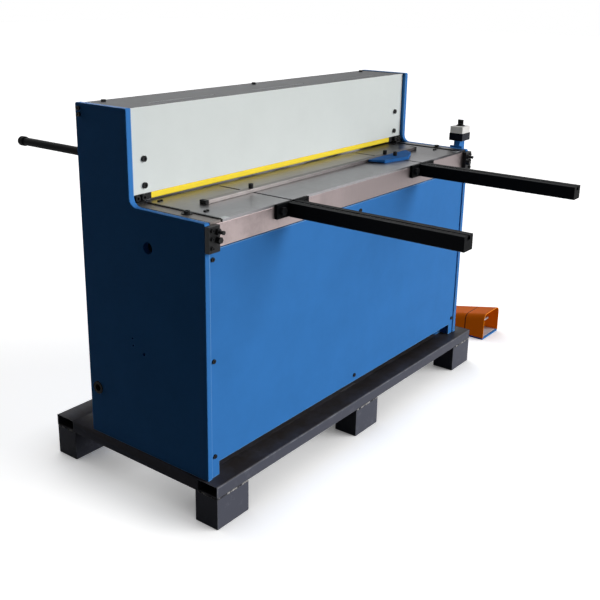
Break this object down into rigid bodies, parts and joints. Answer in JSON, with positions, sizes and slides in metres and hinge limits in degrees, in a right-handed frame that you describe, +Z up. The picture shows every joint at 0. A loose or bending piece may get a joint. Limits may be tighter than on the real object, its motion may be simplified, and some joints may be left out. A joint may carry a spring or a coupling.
{
  "type": "hydraulic guillotine shear",
  "caption": "Floor-standing hydraulic guillotine shear for sheet metal, with slotted table, support arms, back gauge, transport pallet and separate foot pedal.",
  "frame": {"origin": "on the floor below the middle of the machine's front face, on the underside of the middle front pallet foot", "axes": "+X along the blades to the operator's right, +Y from the operator to the rear, +Z up"},
  "size_m": [2.061, 1.614, 1.243],
  "materials": {
    "painted_blue": "semi-gloss paint",
    "painted_white": "semi-gloss paint",
    "painted_grey": "semi-gloss paint",
    "painted_yellow": "semi-gloss paint",
    "painted_orange": "semi-gloss paint",
    "pallet_grey": "matt paint",
    "bright_steel": "ground",
    "blade_steel": "ground",
    "spring_steel": "oiled",
    "black_steel": "blackened",
    "brass": "machined",
    "aluminium": "machined",
    "black_rubber": "matt",
    "black_plastic": "moulded",
    "grey_plastic": "moulded"
  },
  "bodies": {
    "frame": {"side_plate_left": "painted_blue", "side_plate_right": "painted_blue", "base_rails": "painted_blue", "cross_beams": "painted_blue", "frame_brackets": "painted_blue", "floor_plate": "painted_blue", "front_panel": "painted_blue", "rear_panel": "painted_blue", "cover_screws": "black_steel", "pallet_rails": "pallet_grey", "pallet_feet": "pallet_grey", "frame_bolts": "bright_steel", "cable_grommets": "black_rubber", "table_top": "bright_steel", "table_bed": "bright_steel", "table_apron": "bright_steel", "side_gauge_strips": "bright_steel", "table_screws": "black_steel", "corner_plates": "bright_steel", "corner_blocks": "black_steel", "front_bolts": "bright_steel", "support_arms": "black_steel", "front_cover": "painted_white", "cover_brackets": "black_steel", "finger_guard": "painted_yellow", "top_cover": "painted_grey", "rear_tie_beam": "painted_blue", "lower_blade": "blade_steel", "lower_blade_screws": "black_steel", "ram_guides": "brass", "cylinder_barrels": "black_steel", "rear_chute": "painted_grey", "oil_tank": "painted_grey", "motor_and_pump": "painted_grey", "valve_block": "aluminium", "pressure_hoses": "black_rubber", "electrical_cabinet": "painted_grey", "control_post": "painted_blue", "control_box": "black_plastic", "control_box_lid": "painted_white", "selector_switch": "black_plastic", "pedal_base": "painted_blue", "pedal_hood": "painted_orange", "pedal_hinge": "bright_steel", "pedal_switch": "black_plastic"},
    "ram": {"ram_beam": "painted_blue", "upper_blade": "blade_steel", "upper_blade_screws": "black_steel", "piston_rods": "bright_steel", "back_gauge_rods": "bright_steel"},
    "hold_down": {"hold_down_beam": "painted_blue", "hold_down_bolts": "bright_steel", "hold_down_springs": "spring_steel"},
    "back_gauge": {"back_stop": "painted_blue"},
    "gauge": {"gauge_bar": "bright_steel", "gauge_bar_clamps": "black_steel"},
    "stop": {"angle_stop": "painted_blue", "angle_stop_bolt": "black_steel"},
    "treadle": {"pedal_treadle": "grey_plastic"},
    "selector": {"selector_knob": "black_plastic"}
  },
  "joints": [
    {"name": "ram_slide", "type": "slide", "parent": "frame", "child": "ram", "axis": [0, 0, -1], "range_m": [0, 0.055]},
    {"name": "hold_down_slide", "type": "slide", "parent": "frame", "child": "hold_down", "axis": [0, 0, -1], "range_m": [0, 0.0115], "deforming": ["hold_down_springs"]},
    {"name": "back_gauge_slide", "type": "slide", "parent": "ram", "child": "back_gauge", "axis": [0, 1, 0], "range_m": [-0.12, 0.35]},
    {"name": "gauge_bar_slide", "type": "slide", "parent": "frame", "child": "gauge", "axis": [0, 1, 0], "range_m": [-0.6, 0.11]},
    {"name": "angle_stop_slide", "type": "slide", "parent": "gauge", "child": "stop", "axis": [0, -1, 0], "range_m": [0, 0.05]},
    {"name": "pedal_press", "type": "hinge", "parent": "frame", "child": "treadle", "pos_m": [1.182, 0.2, 0.042], "axis": [1, 0, 0], "range_deg": [0, 8], "stiffness_Nm_per_rad": 12, "springref_deg": -14.32},
    {"name": "selector_turn", "type": "hinge", "parent": "frame", "child": "selector", "pos_m": [0.839, 0.067, 1.038], "axis": [0, 0, 1], "range_deg": [-45, 45]}
  ],
  "couplings": [
    {"joint": "hold_down_slide", "follows": "ram_slide", "ratio": 0.20909}
  ]
}
